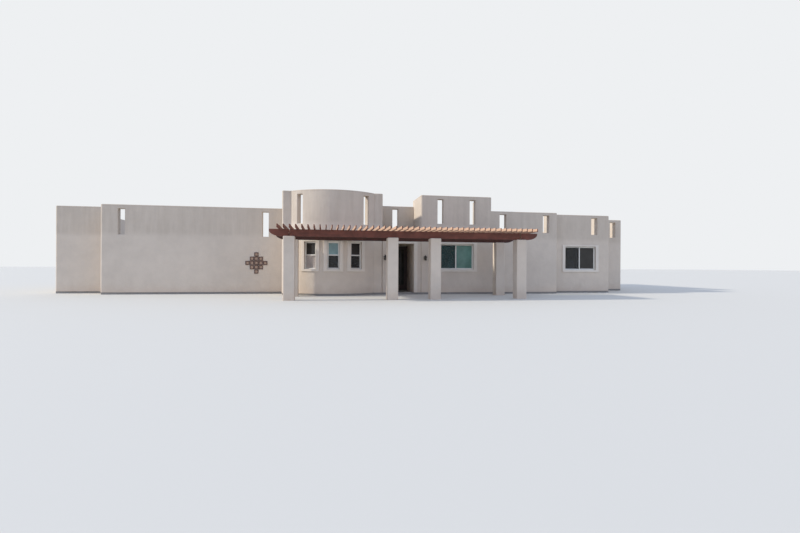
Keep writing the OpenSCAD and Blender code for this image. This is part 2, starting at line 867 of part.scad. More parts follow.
// Lantern on its wall plate: arm, body, hat and finial
module lamp() {
    plate_r = 55;
    plate_t = 18;
    arm_l = 130;
    arm_r = 12;
    body_r = 62;
    body_h = 150;
    hat_r = 110;
    hat_h = 80;
    lip_h = 12;
    ball_r = 16;
    rotate([90, 0, 0]) cylinder(h = plate_t, r = plate_r);
    rotate([90, 0, 0]) cylinder(h = arm_l, r = arm_r);
    translate([0, -arm_l, 0]) {
        translate([0, 0, -body_h / 2]) cylinder(h = body_h, r = body_r);
        translate([0, 0, body_h / 2]) cylinder(h = lip_h, r = hat_r);
        translate([0, 0, body_h / 2 + lip_h]) cylinder(h = hat_h, r1 = hat_r, r2 = arm_r);
        translate([0, 0, body_h / 2 + lip_h + hat_h]) sphere(ball_r);
        translate([0, 0, -body_h / 2 - lip_h]) cylinder(h = lip_h, r = body_r + lip_h);
    }
}

module wall_lamps() {
    color(black_metal) for (s = [-1, 1])
        translate([entry_x + s * lamp_off, 0, lamp_z]) lamp();
}

module stepped_cross() {
    pitch = tile_w + tile_gap;
    y = left_wing_set;
    color(door_brown) for (i = [-2:2]) for (k = [-2:2]) if (abs(i) + abs(k) <= 2)
        translate([x2 - cross_in + i * pitch - tile_w / 2, y - tile_t, cross_z + k * pitch - tile_w / 2])
            cube([tile_w, tile_t, tile_w]);
}

place() foundation_slab();
place() left_end_front_wall();
place() left_end_side_wall();
place() left_wing_front_wall();
place() wing_side_walls();
place() tower_shoulders();
place() bow_wall_left();
place() bow_wall_middle();
place() bow_wall_right();
place() tower_left_wall();
place() tower_right_wall();
place() entry_piers();
place() entry_lintel();
place() door_side_walls();
place() door_wall_over();
place() block_front_wall();
place() block_left_wall();
place() block_right_wall();
place() core_back_wall();
place() link_front_wall();
place() right_wing_front_wall();
place() right_end_front_wall();
place() right_end_side_wall();
place() back_wall_left();
place() back_wall_middle();
place() back_wall_right();
place() low_roof_left();
place() low_roof_back();
place() low_roof_right();
place() tall_roofs();
place() hall_roof();
place() porch_roof();
place() front_columns();
place() rear_columns();
place() front_beam();
place() rear_beam();
place() rafters();
place() surrounds();
place() window_frames();
place() window_glass();
place() door_frame();
place() hinge_pins();
place() door_leaf();
place() door_glass();
place() door_furniture();
place() wall_lamps();
place() stepped_cross();
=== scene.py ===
"""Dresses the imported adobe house: worn plaster, timber pergola, vinyl windows, front door and lanterns."""

import math

import bmesh
import bpy
from bpy.props import FloatProperty, FloatVectorProperty, PointerProperty
from mathutils import Matrix, Vector
from mathutils.bvhtree import BVHTree


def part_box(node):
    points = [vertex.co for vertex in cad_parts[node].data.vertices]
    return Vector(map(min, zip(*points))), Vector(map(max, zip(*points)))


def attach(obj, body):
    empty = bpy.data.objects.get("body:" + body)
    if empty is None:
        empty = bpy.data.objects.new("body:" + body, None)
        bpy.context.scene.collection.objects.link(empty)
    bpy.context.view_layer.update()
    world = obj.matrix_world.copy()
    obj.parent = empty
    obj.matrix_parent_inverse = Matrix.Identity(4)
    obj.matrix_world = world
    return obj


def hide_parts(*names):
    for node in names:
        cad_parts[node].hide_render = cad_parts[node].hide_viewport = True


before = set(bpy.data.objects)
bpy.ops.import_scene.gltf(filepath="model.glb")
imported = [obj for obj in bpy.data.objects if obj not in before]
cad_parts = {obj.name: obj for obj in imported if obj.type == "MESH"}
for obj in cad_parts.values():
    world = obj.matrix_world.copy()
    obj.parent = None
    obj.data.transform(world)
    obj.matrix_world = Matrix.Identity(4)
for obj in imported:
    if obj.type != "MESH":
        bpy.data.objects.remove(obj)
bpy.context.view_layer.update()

bl_info = {
    "name": "Adobe house",
    "version": (1, 0, 0),
    "blender": (4, 5, 0),
    "location": "3D View > Sidebar > Adobe house",
    "description": "Finishes the adobe house part by part around its solid model",
    "category": "Object",
}

# Walls that carry plaster, each with the kind of its top
WALLS = {
    "left_end_front_wall": "low", "left_end_side_wall": "low", "left_wing_front_wall": "low",
    "wing_side_walls": "low", "tower_shoulders": "tall", "bow_wall_left": "tall",
    "bow_wall_middle": "tall", "bow_wall_right": "tall", "tower_left_wall": "tall",
    "tower_right_wall": "tall", "entry_piers": "entry", "entry_lintel": "entry",
    "door_side_walls": "entry", "door_wall_over": "hall", "block_front_wall": "tall",
    "block_left_wall": "tall", "block_right_wall": "tall", "core_back_wall": "curb",
    "link_front_wall": "low", "right_wing_front_wall": "low", "right_end_front_wall": "low",
    "right_end_side_wall": "low", "back_wall_left": "curb", "back_wall_middle": "curb",
    "back_wall_right": "curb",
}
# Height of each kind of top, and of the roof line that shows through the wall, in metres
WALL_TOPS = {"low": 4.30, "hall": 4.66, "tall": 5.02, "entry": 3.20, "curb": 3.50}
ROOF_LINES = {"low": 2.90, "hall": 3.24, "tall": 3.46, "entry": 2.84, "curb": 2.90}
# Top and roof line of plaster that has none
OUT_OF_REACH = 9.0
# Slots lie above the first of these heights, and a parapet's corners above the second
SLOTS_FROM = 2.7
CEILING = 3.0
# Windows: x, y of the wall's face and the turn about Z that makes -Y face out of the wall
BOW_CENTRE = (-2.035, -2.245)
BOW_RADIUS = 2.9
BOW_TURNS = (-22, 0, 22)
WIDE_WINDOWS = (
    (4.2, -4.345, 0), (11.52, -3.685, 0),
    (-11.4275, 8.455, 180), (-6.5775, 8.455, 180), (-1.8325, 8.455, 180),
    (3.4325, 8.455, 180), (7.915, 8.455, 180), (13.515, 8.455, 180),
    (-15.415, 3.205, -90), (15.415, 3.33, 90),
)
WINDOW_Z = (1.26, 2.56)
WINDOW_Y = (0.07, 0.16)
BOW_WINDOW_HALF = 0.29
WIDE_WINDOW_HALF = 0.915
FRAME_W = 0.03
SASH_T = 0.032
# Depths: of sashes and screens behind the frame's outer face, of beads and panes behind the sash's
OUTER_SASH = 0.016
INNER_SASH = 0.046
BOW_SCREEN = 0.006
WIDE_SCREEN = 0.02
BEAD_SET = 0.004
PANE_SET = 0.012
# Thicknesses, the play round a screen, how far its netting laps the rim, and how far sashes overlap
BEAD_T = 0.006
SCREEN_T = 0.009
SCREEN_PLAY = 0.004
NETTING_LAP = 0.004
MEETING = 0.02
CHECK_RAIL = 0.045
SILL_H = 0.022
SILL_HALF_D = 0.012
# Panes with painted looks of their own: painted reflections of trees and sky, a painted dark green
# reflection, and a pale blind behind the glass; x limits, limit of y in front, z limits, name and colour
LIT_PANES = (
    ((3.2, 4.2), -4.0, WINDOW_Z, "glass_over_green_shade", "#1C4442"),
    ((4.2, 5.2), -4.0, WINDOW_Z, "glass_reflecting_trees", "#668A7E"),
    ((-2.4, -1.7), -4.9, (1.93, 2.56), "glass_reflecting_sky", "#7C9696"),
    ((-3.5, -2.7), -4.5, (1.26, 1.92), "glass_over_pale_blind", "#E4D6CB"),
)
# Entry and ornament
WALL_FACE_Y = -4.345
LAMPS_X = (0.515, 2.555)
LAMP_Z = 1.8
LAMP_REACH = -0.13
STILE_W = 0.12
HANDLE_Z = 1.1
KEYHOLE_OVER_HANDLE = 0.14
MOULDING_T = 0.008
MOULDING_LAP = 0.004
CROSS_CENTRE = (-5.805, -3.145, 1.54)
CROSS_ARM = 2
TILE = 0.2
TILE_PITCH = 0.214
TILE_T = 0.03
# Edges of small pieces: eased by hand, and barely broken
EASED = 0.003
BROKEN = 0.001
# Grain stretched along the beams or along the rafters
GRAIN_ALONG_X = (0.8, 60.0, 60.0)
GRAIN_ALONG_Y = (60.0, 0.8, 60.0)
# Painted shade: the rear beam's wood colour is darkened by this share to stand in for the shade it lies in
REAR_BEAM_PAINTED_SHADE = 0.42
# Light and camera
FILL = 1.14
SKY = "#CFDFFF"
KEY = 3.5
KEY_COLOUR = "#FFFAF1"
KEY_ANGLE = 3
KEY_FROM = (-0.88, 0.025, 0.47)
BACKDROP = "#EEF0F2"
FLOOR = "#C6C2B8"
PHOTO_WIDTH = 800
SENSOR_WIDTH = 36.0
FOCAL_PIXELS = 440
CAMERA_AT = (-2.415, -26.045, 1.40)
CAMERA_TURN = 9.65
CAMERA_ROLL = 0.29


def linear(hex_colour):
    """Linear RGBA of an sRGB hex colour."""
    parts = [int(hex_colour[i:i + 2], 16) / 255 for i in (1, 3, 5)]
    return [p / 12.92 if p <= 0.04045 else ((p + 0.055) / 1.055) ** 2.4 for p in parts] + [1.0]


def length(name, description, default):
    """Property for a length in metres."""
    return FloatProperty(name=name, description=description, default=default, min=0.0005, max=0.5,
                         unit="LENGTH", subtype="DISTANCE", precision=4)


def colour(name, description, hex_colour):
    """Property for a colour."""
    return FloatVectorProperty(name=name, description=description, default=linear(hex_colour),
                               min=0.0, max=1.0, size=4, subtype="COLOR")


class HouseSizes(bpy.types.PropertyGroup):
    """Sizes of the finish that the solid model leaves to this script."""

    rim: length("Parapet rounding", "Radius of the plaster along the tops of the walls", 0.045)
    slot: length("Slot rounding", "Radius of the plaster round the parapet slots", 0.022)
    column: length("Column rounding", "Radius of the plaster on the columns", 0.035)
    surround: length("Surround rounding", "Radius along the raised surrounds", 0.012)
    beam: length("Beam edge", "Worn edge of the pergola's beams", 0.008)
    rafter: length("Rafter edge", "Worn edge of the rafters", 0.005)
    sash: length("Sash width", "Face width of a window sash", 0.032)
    bead: length("Bead width", "Face width of the bead that holds a pane", 0.01)
    screen: length("Screen rim", "Face width of an insect screen's rim", 0.018)
    moulding: length("Door moulding", "Width of the moulding round the door's glass", 0.03)
    came: length("Door bars", "Width of the thin bars in the door's glass", 0.012)
    tile_rim: length("Tile rim", "Width of the raised rim of a cross tile", 0.034)


class HouseColours(bpy.types.PropertyGroup):
    """Colours of the finishes."""

    plaster: colour("Plaster", "Lime-washed stucco", "#D1C3B2")
    stain: colour("Parapet stain", "Rain and dust on the parapets", "#A89A88")
    soil: colour("Soil splash", "Earth that rain throws on the foot of the walls", "#C4A78E")
    trim: colour("Surrounds", "Smooth stucco of the raised surrounds", "#DDD2C3")
    timber: colour("Timber", "Oiled reddish-brown wood", "#6C3D30")
    # Painted sunlight with some sun bleaching: the pale colour of the timber faces turned to the key light
    sunlit_and_bleached_timber: colour("Bleached timber", "Wood paled by the sun", "#D6B294")
    vinyl: colour("Vinyl", "White window profiles", "#DFDAD0")
    # The window glass colour is painted shade: dark for the unlit rooms behind the panes
    glass: colour("Window glass", "Tinted panes in front of dark rooms", "#34322F")
    netting: colour("Netting", "Charcoal threads of the insect screens", "#3C3F40")
    door: colour("Door paint", "Dark brown enamel", "#35231F")
    iron: colour("Iron", "Blackened iron", "#1F1E21")
    lamp: colour("Lamp glass", "Smoky seeded glass of the lanterns", "#5A5347")
    tile: colour("Tile rim", "Dark rim of the cross tiles", "#5C443A")
    tile_face: colour("Tile face", "Paler fired face of the cross tiles", "#A08672")
    concrete: colour("Concrete", "Foundation slab", "#8F8A84")
    membrane: colour("Roof membrane", "Mineral-faced roofing felt", "#BEB9AF")
    lap: colour("Felt laps", "Darker laps between the strips of felt", "#878178")


# Modelling tools


def object_mode():
    """Leaves edit mode and deselects everything."""
    if bpy.context.mode != "OBJECT":
        bpy.ops.object.mode_set(mode="OBJECT")
    bpy.ops.object.select_all(action="DESELECT")


def activate(piece):
    """Makes piece the only selected object."""
    object_mode()
    piece.select_set(True)
    bpy.context.view_layer.objects.active = piece


def apply_place(piece):
    """Moves an object's place, turn and scale into its mesh."""
    activate(piece)
    bpy.ops.object.transform_apply(location=True, rotation=True, scale=True)


def named(piece, name):
    """Gives a piece and its mesh a name."""
    piece.name = name
    piece.data.name = name
    return piece


def edit(piece, kind="FACE", pick=None):
    """Opens piece in edit mode with all selected, or only what pick accepts, and returns how many."""
    activate(piece)
    bpy.context.tool_settings.mesh_select_mode = tuple(kind == k for k in ("VERT", "EDGE", "FACE"))
    bpy.ops.object.mode_set(mode="EDIT")
    bpy.ops.mesh.select_all(action="DESELECT" if pick else "SELECT")
    if not pick:
        return len(piece.data.polygons)
    mesh = bmesh.from_edit_mesh(piece.data)
    mesh.normal_update()
    found = [e for e in {"VERT": mesh.verts, "EDGE": mesh.edges, "FACE": mesh.faces}[kind] if pick(e)]
    for element in found:
        element.select_set(True)
    mesh.select_flush_mode()
    bmesh.update_edit_mesh(piece.data)
    return len(found)


def box(name, lo, hi):
    """A box between two corners, ready to be shaped."""
    object_mode()
    middle = [(a + b) / 2 for a, b in zip(lo, hi)]
    size = [b - a for a, b in zip(lo, hi)]
    bpy.ops.mesh.primitive_cube_add(size=1, location=middle, scale=size)
    piece = named(bpy.context.object, name)
    apply_place(piece)
    return piece


def face_outward(piece):
    """Merges doubles and turns every face outward."""
    edit(piece)
    bpy.ops.mesh.remove_doubles(threshold=0.00005)
    bpy.ops.mesh.normals_make_consistent(inside=False)
    object_mode()


def ring(name, lo, hi, width):
    """A rectangular frame that stands in the XZ plane, with members of one width."""
    piece = box(name, lo, hi)
    edit(piece, "FACE", lambda f: abs(f.normal.y) > 0.9)
    bpy.ops.mesh.inset(thickness=width, use_even_offset=True)
    bpy.ops.mesh.bridge_edge_loops()
    face_outward(piece)
    return piece


def sharp(edge, degrees=50):
    """Whether an edge is a sharp corner that sticks out."""
    return len(edge.link_faces) == 2 and edge.is_convex and edge.calc_face_angle(0) > math.radians(degrees)


def soften(piece, radius, segments=2, pick=sharp):
    """Rounds the picked edges."""
    if edit(piece, "EDGE", pick):
        bpy.ops.mesh.bevel(offset_type="OFFSET", offset=radius, segments=segments,
                           affect="EDGES", clamp_overlap=False)
    object_mode()
    return piece


def turned(name, foot, profile, sides):
    """A closed round shape: a disc extruded and scaled through pairs of radius and height over foot."""
    object_mode()
    radius, height = profile[0]
    bpy.ops.mesh.primitive_circle_add(vertices=sides, radius=radius, fill_type="NGON",
                                      location=(foot[0], foot[1], foot[2] + height))
    piece = named(bpy.context.object, name)
    apply_place(piece)
    edit(piece)
    for next_radius, next_height in profile[1:]:
        bpy.ops.mesh.extrude_region_move(
            TRANSFORM_OT_translate={"value": (0, 0, next_height - height)})
        share = next_radius / radius
        bpy.ops.transform.resize(value=(share, share, 1),
                                 center_override=(foot[0], foot[1], foot[2] + next_height))
        radius, height = next_radius, next_height
    face_outward(piece)
    return piece


def smooth(piece, degrees=40):
    """Smooth shading over soft edges, with flat faces kept flat."""
    activate(piece)
    bpy.ops.object.shade_smooth_by_angle(angle=math.radians(degrees))
    even = piece.modifiers.new("even", "WEIGHTED_NORMAL")
    even.keep_sharp = True
    bpy.ops.object.modifier_apply(modifier="even")
    return piece


def join(name, parts):
    """Joins parts into one piece."""
    activate(parts[0])
    for part in parts[1:]:
        part.select_set(True)
    bpy.ops.object.join()
    return named(bpy.context.object, name)


def repeated(name, piece, places):
    """One piece made of copies at the places, each x, y, z and degrees; the pattern piece is used up."""
    copies = []
    for x, y, z, turn in places:
        activate(piece)
        bpy.ops.object.duplicate(linked=False)
        twin = bpy.context.object
        twin.location = (x, y, z)
        twin.rotation_euler = (0, 0, math.radians(turn))
        apply_place(twin)
        copies.append(twin)
    bpy.data.objects.remove(piece)
    return join(name, copies)


def node_copy(name, node):
    """A merged copy of a CAD node with its flat faces made whole."""
    piece = named(bpy.data.objects.new(name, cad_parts[node].data.copy()), name)
    bpy.context.scene.collection.objects.link(piece)
    piece.data.materials.clear()
    activate(piece)
    bpy.ops.mesh.customdata_custom_splitnormals_clear()
    edit(piece)
    bpy.ops.mesh.remove_doubles(threshold=0.0001)
    bpy.ops.mesh.dissolve_limited(angle_limit=math.radians(0.3))
    object_mode()
    return piece


def set_material(piece, material):
    """Gives a whole piece one material."""
    piece.data.materials.clear()
    piece.data.materials.append(material)
    return piece


def settle(piece, body, slot, *nodes):
    """Says what a finished piece moves with and what it stands for; its record slot is not used."""
    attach(piece, body)
    if nodes:
        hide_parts(*nodes)
    return piece


# Materials


def colours():
    """The colours of the finishes."""
    return bpy.context.scene.house_colours


def feed(tree, node, inputs):
    """Sets a node's inputs to values, or links sockets or the first outputs of nodes to them."""
    for key, value in inputs.items():
        if isinstance(value, bpy.types.Node):
            value = value.outputs[0]
        if isinstance(value, bpy.types.NodeSocket):
            tree.links.new(value, node.inputs[key])
        else:
            node.inputs[key].default_value = value


def add(tree, kind, inputs, **settings):
    """Adds a shader node with its inputs and settings."""
    made = tree.nodes.new("ShaderNode" + kind)
    for key, value in settings.items():
        setattr(made, key, value)
    feed(tree, made, inputs)
    return made


def new_material(name, roughness, base=(0.8, 0.8, 0.8, 1.0)):
    """A material with its tree, its shader and the object coordinates."""
    material = bpy.data.materials.new(name)
    material.use_nodes = True
    tree = material.node_tree
    shader = tree.nodes["Principled BSDF"]
    feed(tree, shader, {"Roughness": roughness, "Base Color": base})
    return material, tree, shader, add(tree, "TexCoord", {}).outputs["Object"]


def varied(tree, base, pattern, low, high, span=(0.3, 0.7)):
    """A colour made darker and lighter as a pattern goes through its span."""
    share = add(tree, "MapRange", {"Value": pattern, "From Min": span[0], "From Max": span[1],
                                   "To Min": low, "To Max": high})
    return add(tree, "VectorMath", {0: base, "Scale": share}, operation="SCALE")


def stucco(name, base, top=OUT_OF_REACH, roof_line=OUT_OF_REACH, rough=1.0):
    """Sand-floated lime stucco on adobe: matt, faintly uneven, rain-streaked above the roof line,
    dark along the weathered top edge and tinted by splashed earth at the foot."""
    c = colours()
    material, tree, shader, where = new_material(name, 0.92)
    height = add(tree, "SeparateXYZ", {0: where}).outputs["Z"]
    # Batches of wash, 2 to 4 m across, and hand-floated patches of about half a metre
    broad = add(tree, "TexNoise", {"Vector": where, "Scale": 0.45, "Detail": 3.0})
    patch = add(tree, "TexNoise", {"Vector": where, "Scale": 2.4, "Detail": 5.0, "Roughness": 0.6})
    batches = varied(tree, base[:3], broad, 0.93, 1.03)
    wash = varied(tree, batches, patch, 0.94, 1.03, (0.25, 0.75))
    # Runs of rain water, about 200 mm wide and 2 m long
    drawn_out = add(tree, "Mapping", {"Vector": where, "Scale": (5.0, 5.0, 0.5)})
    runs = add(tree, "TexNoise", {"Vector": drawn_out, "Scale": 1.0, "Detail": 4.0, "Roughness": 0.65})
    # Rain stain: starts at the roof line and is strongest in the runs
    rise = add(tree, "MapRange", {"Value": height, "From Min": roof_line - 0.15,
                                  "From Max": roof_line + 0.15}, interpolation_type="SMOOTHSTEP")
    streak = add(tree, "MapRange", {"Value": runs, "From Min": 0.35, "From Max": 0.68,
                                    "To Min": 0.18, "To Max": 0.42})
    stain = add(tree, "Math", {0: rise, 1: streak}, operation="MULTIPLY")
    wet = add(tree, "Mix", {0: stain, 6: wash, 7: c.stain}, data_type="RGBA")
    # Weathered edge: comes in over the last 110 mm under the top
    edge = add(tree, "MapRange", {"Value": height, "From Min": top - 0.11, "From Max": top - 0.03,
                                  "To Max": 0.35}, interpolation_type="SMOOTHSTEP")
    worn = add(tree, "Mix", {0: edge, 6: wet.outputs[2], 7: c.stain}, data_type="RGBA")
    # Splash: fades out over the lowest 600 mm, with a ragged edge
    ragged = add(tree, "Math", {0: patch, 1: 0.5, 2: height}, operation="MULTIPLY_ADD")
    low = add(tree, "MapRange", {"Value": ragged, "From Min": 0.3, "From Max": 0.85,
                                 "To Min": 0.22, "To Max": 0.0}, interpolation_type="SMOOTHSTEP")
    foot = add(tree, "Mix", {0: low, 6: worn.outputs[2], 7: c.soil}, data_type="RGBA")
    # The float leaves waves of about 300 mm; the 2 mm sand is drawn at 25 mm so that it shows
    waves = add(tree, "TexNoise", {"Vector": where, "Scale": 3.2, "Detail": 2.0})
    grains = add(tree, "TexNoise", {"Vector": where, "Scale": 40.0, "Detail": 3.0})
    bump = add(tree, "Bump", {"Strength": 0.35 * rough, "Distance": 0.05, "Height": waves})
    sand = add(tree, "Bump", {"Strength": 0.35 * rough, "Distance": 0.006, "Height": grains,
                              "Normal": bump})
    feed(tree, shader, {"Base Color": foot.outputs[2], "Normal": sand, "Specular IOR Level": 0.2})
    return material


def timber(name, stretch, depth=1.0):
    """Rough-sawn pine, oiled red-brown: dark grain along each length, and a paler colour on the faces turned
    to the key light, which is painted sunlight with some sun bleaching.
    """
    c = colours()
    material, tree, shader, where = new_material(name, 0.72)
    # Grain lines over a metre long, drawn about 17 mm apart so that they show
    along = add(tree, "Mapping", {"Vector": where, "Scale": stretch})
    grain = add(tree, "TexNoise", {"Vector": along, "Scale": 1.0, "Detail": 5.0,
                                   "Roughness": 0.7, "Distortion": 0.4})
    boards = add(tree, "TexNoise", {"Vector": where, "Scale": 2.6, "Detail": 4.0})
    oiled = varied(tree, c.timber[:3], grain, 0.62, 1.25)
    # A depth under 1 darkens the wood as painted shade
    oiled = varied(tree, oiled, boards, 0.68 * depth, 1.3 * depth)
    # Pale colour of the sunlit faces: painted sunlight with some sun bleaching
    pale = varied(tree, c.sunlit_and_bleached_timber[:3], grain, 0.86, 1.06)
    # Painted sunlight: faces that look left or up, toward the key light, take the pale colour
    normal = add(tree, "NewGeometry", {}).outputs["Normal"]
    facing = add(tree, "VectorMath", {0: normal, 1: (-0.85, 0.0, 0.53)}, operation="DOT_PRODUCT")
    sun = add(tree, "MapRange", {"Value": facing.outputs["Value"], "From Min": 0.2, "From Max": 0.7,
                                 "To Max": 0.8}, interpolation_type="SMOOTHSTEP")
    mixed = add(tree, "Mix", {0: sun, 6: oiled, 7: pale}, data_type="RGBA")
    bump = add(tree, "Bump", {"Strength": 0.5, "Distance": 0.004, "Height": grain})
    feed(tree, shader, {"Base Color": mixed.outputs[2], "Normal": bump})
    return material


def mottled(name, base, roughness, scale, spread, relief=0.0, depth=0.002, metallic=0.0):
    """A surface whose colour, gloss and relief wander by one noise: paint, tile, iron or concrete."""
    material, tree, shader, where = new_material(name, roughness)
    cloud = add(tree, "TexNoise", {"Vector": where, "Scale": scale, "Detail": 5.0, "Roughness": 0.6})
    gloss = add(tree, "MapRange", {"Value": cloud, "From Min": 0.3, "From Max": 0.7,
                                   "To Min": roughness * 0.85, "To Max": min(1.0, roughness * 1.15)})
    feed(tree, shader, {"Base Color": varied(tree, base[:3], cloud, 1 - spread, 1 + spread),
                        "Roughness": gloss, "Metallic": metallic})
    if relief:
        bump = add(tree, "Bump", {"Strength": relief, "Distance": depth, "Height": cloud})
        feed(tree, shader, {"Normal": bump})
    return material


def pane_glass(name, painted_or_blind_colour):
    """Float glass in front of a room, very smooth and opaque, with its colour painted: painted shade, nearly
    black, for an unlit room, a paler painted reflection of the sky or trees, or the colour of a blind behind
    it."""
    material, tree, shader, where = new_material(name, 0.06)
    drift = add(tree, "TexNoise", {"Vector": where, "Scale": 1.7, "Detail": 3.0})
    feed(tree, shader, {"Base Color": varied(tree, painted_or_blind_colour[:3], drift, 0.75, 1.2),
                        "Specular IOR Level": 0.3})
    return material


def dark_glass():
    """Opaque float glass painted dark: painted shade that stands in for the unlit rooms behind it."""
    return pane_glass("float_glass_painted_dark_room", colours().glass)


def screen_netting():
    """Fibreglass insect netting: charcoal threads. The real mesh is 1.5 mm and is drawn at 16 mm so
    that it shows close up; from afar it only greys the glass behind."""
    material, tree, shader, where = new_material("insect_screen_netting", 0.8, colours().netting)
    threads = []
    across = add(tree, "SeparateXYZ", {0: where})
    for axis in ("X", "Y", "Z"):
        wave = add(tree, "Math", {0: across.outputs[axis], 1: 0.008}, operation="PINGPONG")
        threads.append(add(tree, "Math", {0: wave, 1: 0.0016}, operation="LESS_THAN"))
    # X or Y runs across a pane, by the way that its wall faces
    normal = add(tree, "SeparateXYZ", {0: add(tree, "NewGeometry", {}).outputs["Normal"]})
    sideways = add(tree, "Math", {0: normal.outputs["X"]}, operation="ABSOLUTE")
    turned_wall = add(tree, "Math", {0: sideways, 1: 0.7}, operation="GREATER_THAN")
    warp = add(tree, "Mix", {0: turned_wall, 2: threads[0], 3: threads[1]}, data_type="FLOAT")
    cover = add(tree, "Math", {0: warp, 1: threads[2]}, operation="MAXIMUM")
    dense = add(tree, "MapRange", {"Value": cover, "To Min": 0.08, "To Max": 0.5})
    feed(tree, shader, {"Alpha": dense})
    return material


def roof_felt():
    """Mineral-faced roofing felt: pale grit, laid in strips a metre wide with darker laps."""
    c = colours()
    material, tree, shader, where = new_material("mineral_roof_felt", 0.95)
    across = add(tree, "SeparateXYZ", {0: where}).outputs["Y"]
    lap = add(tree, "Math", {0: across, 1: 1.0}, operation="FRACT")
    seam = add(tree, "Math", {0: lap, 1: 0.04}, operation="LESS_THAN")
    grit = add(tree, "TexNoise", {"Vector": where, "Scale": 30.0, "Detail": 4.0})
    pools = add(tree, "TexNoise", {"Vector": where, "Scale": 0.6, "Detail": 3.0})
    strips = varied(tree, c.membrane[:3], pools, 0.85, 1.06)
    laid = add(tree, "Mix", {0: seam, 6: strips, 7: c.lap}, data_type="RGBA")
    bump = add(tree, "Bump", {"Strength": 0.6, "Distance": 0.003, "Height": grit})
    feed(tree, shader, {"Base Color": laid.outputs[2], "Normal": bump})
    return material


def shared(maker, *values):
    """A material made once and found again by its maker and values."""
    key = (maker.__name__, *values)
    if key not in shared.made:
        shared.made[key] = maker(*values)
    return shared.made[key]


shared.made = {}


def vinyl():
    """Extruded rigid vinyl: off-white, satin, with a little dust."""
    return mottled("extruded_white_vinyl", colours().vinyl, 0.38, 6.0, 0.03)


def iron():
    """Blackened wrought iron: matt, pitted, nearly black."""
    return mottled("blackened_iron", colours().iron, 0.55, 60.0, 0.25, 0.4, 0.001, 0.6)


def door_enamel():
    """Dark brown enamel brushed on wood: satin, with faint brush marks."""
    return mottled("brushed_brown_enamel", colours().door, 0.42, 14.0, 0.12, 0.15, 0.001)


def cast_concrete():
    """Cast concrete: grey, matt, cloudy."""
    return mottled("cast_concrete", colours().concrete, 0.88, 4.0, 0.1, 0.4, 0.004)


def lamp_glass():
    """Seeded lamp glass, unlit: smoky amber-grey, glossy."""
    return mottled("seeded_lamp_glass", colours().lamp, 0.12, 30.0, 0.15)


def tile_rim():
    """Dark glazed rim of the cross tiles."""
    return mottled("dark_fired_tile", colours().tile, 0.5, 20.0, 0.2, 0.3, 0.001)


def tile_face():
    """Paler unglazed face of the cross tiles."""
    return mottled("pale_fired_tile", colours().tile_face, 0.7, 16.0, 0.2, 0.3, 0.001)


def plaster_for(kind):
    """The wall plaster for one height of wall."""
    return stucco(f"float_finished_stucco_{kind}", colours().plaster, WALL_TOPS[kind], ROOF_LINES[kind])


def column_plaster():
    """Wall plaster on the columns, without roof line or weathered top."""
    return stucco("float_finished_stucco_columns", colours().plaster)


def trim_plaster():
    """Steel-trowelled stucco of the surrounds: smoother and paler than the walls."""
    return stucco("trowelled_stucco_trim", colours().trim, rough=0.4)


# Walls


def solids(piece):
    """Lowest and highest corners of each separate solid of a merged piece."""
    mesh = bmesh.new()
    mesh.from_mesh(piece.data)
    left, boxes = set(mesh.verts), []
    while left:
        island, todo = [], [left.pop()]
        while todo:
            v = todo.pop()
            island.append(v.co.copy())
            for e in v.link_edges:
                other = e.other_vert(v)
                if other in left:
                    left.remove(other)
                    todo.append(other)
        boxes.append([Vector(f(p[i] for p in island) for i in range(3)) for f in (min, max)])
    mesh.free()
    return boxes


def ray_tree(piece):
    """A tree of a piece's faces for rays."""
    mesh = bmesh.new()
    mesh.from_mesh(piece.data)
    tree = BVHTree.FromBMesh(mesh)
    mesh.free()
    return tree


def inside_any(trees, point):
    """Whether a point lies inside a closed solid, so that a ray from it meets an odd number of faces."""
    way = Vector((0.137, 0.219, 0.966)).normalized()
    past_the_face = way * 0.00002
    for tree in trees:
        start, hits = point.copy(), 0
        while hits < 60:
            spot = tree.ray_cast(start, way)[0]
            if spot is None:
                break
            hits += 1
            start = spot + past_the_face
        if hits % 2:
            return True
    return False


def free_corner(edge, trees):
    """Whether no neighbour lies against either face of a wall's edge."""
    one, two = (f.normal for f in edge.link_faces)
    middle = (edge.verts[0].co + edge.verts[1].co) / 2
    step = 0.006
    return not (inside_any(trees, middle + (one - two) * step)
                or inside_any(trees, middle + (two - one) * step))


def own_planes(piece):
    """Planes, as axis and place, through the ends of a wall's straight edges."""
    planes = set()
    for edge in piece.data.edges:
        a, b = (piece.data.vertices[i].co for i in edge.vertices)
        along = [i for i in range(3) if abs(a[i] - b[i]) > 0.0005]
        if len(along) == 1 and (a - b).length > 0.02:
            planes |= {(along[0], round(p[along[0]], 4)) for p in (a, b)}
    return planes


def touching_planes(own, others):
    """Planes through the sides of the neighbours' solids that touch one of the wall's."""
    planes = set()
    for a in own:
        for b in others:
            if all(a[0][i] <= b[1][i] + 0.001 and b[0][i] <= a[1][i] + 0.001 for i in range(3)):
                planes |= {(i, round(b[k][i], 4)) for i in range(3) for k in (0, 1)}
    return planes


def slanting_in_face(edge):
    """Whether an edge only divides a flat face, and slants."""
    way = (edge.verts[0].co - edge.verts[1].co).normalized()
    return (len(edge.link_faces) == 2 and edge.calc_face_angle(1) < 0.005
            and max(abs(c) for c in way) < 0.9999)


